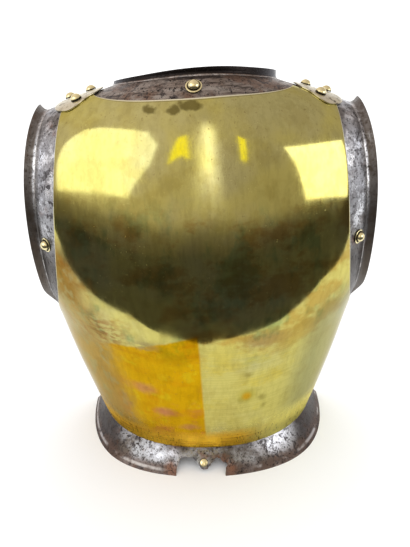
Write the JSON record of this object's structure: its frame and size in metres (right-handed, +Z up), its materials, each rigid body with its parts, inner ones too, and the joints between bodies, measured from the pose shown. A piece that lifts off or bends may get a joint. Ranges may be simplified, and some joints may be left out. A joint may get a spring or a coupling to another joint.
{
  "type": "cuirass backplate",
  "caption": "Back half of a cavalry cuirass: a steel shell faced with brass, with a waist flange, turned lips at neck and arms, and riveted strap plates.",
  "frame": {"origin": "middle of the base, on the surface that the waist flange stands on", "axes": "+X to the right of the picture, +Y towards the open side where the wearer's back goes, +Z up"},
  "size_m": [0.3678, 0.1648, 0.4356],
  "materials": {
    "steel": "worn grey plate steel, pitted, with rust-brown tints and bright rubbed patches",
    "brass": "polished brass sheet with fine brush lines, khaki to orange tarnish in its lower half",
    "pale_brass": "dull pale brass sheet with dark edges",
    "rivet_brass": "rubbed bright brass rivets with dark rings"
  },
  "bodies": {
    "root": {"steel_plate": "steel", "brass_cover": "brass", "shoulder_plate_left": "pale_brass", "shoulder_plate_right": "pale_brass", "neck_rivet": "rivet_brass", "arm_rivet_left": "rivet_brass", "arm_rivet_right": "rivet_brass", "waist_rivet": "rivet_brass", "shoulder_rivet_left_1": "rivet_brass", "shoulder_rivet_left_2": "rivet_brass", "shoulder_rivet_left_3": "rivet_brass", "shoulder_rivet_right_1": "rivet_brass", "shoulder_rivet_right_2": "rivet_brass", "shoulder_rivet_right_3": "rivet_brass"}
  },
  "joints": []
}
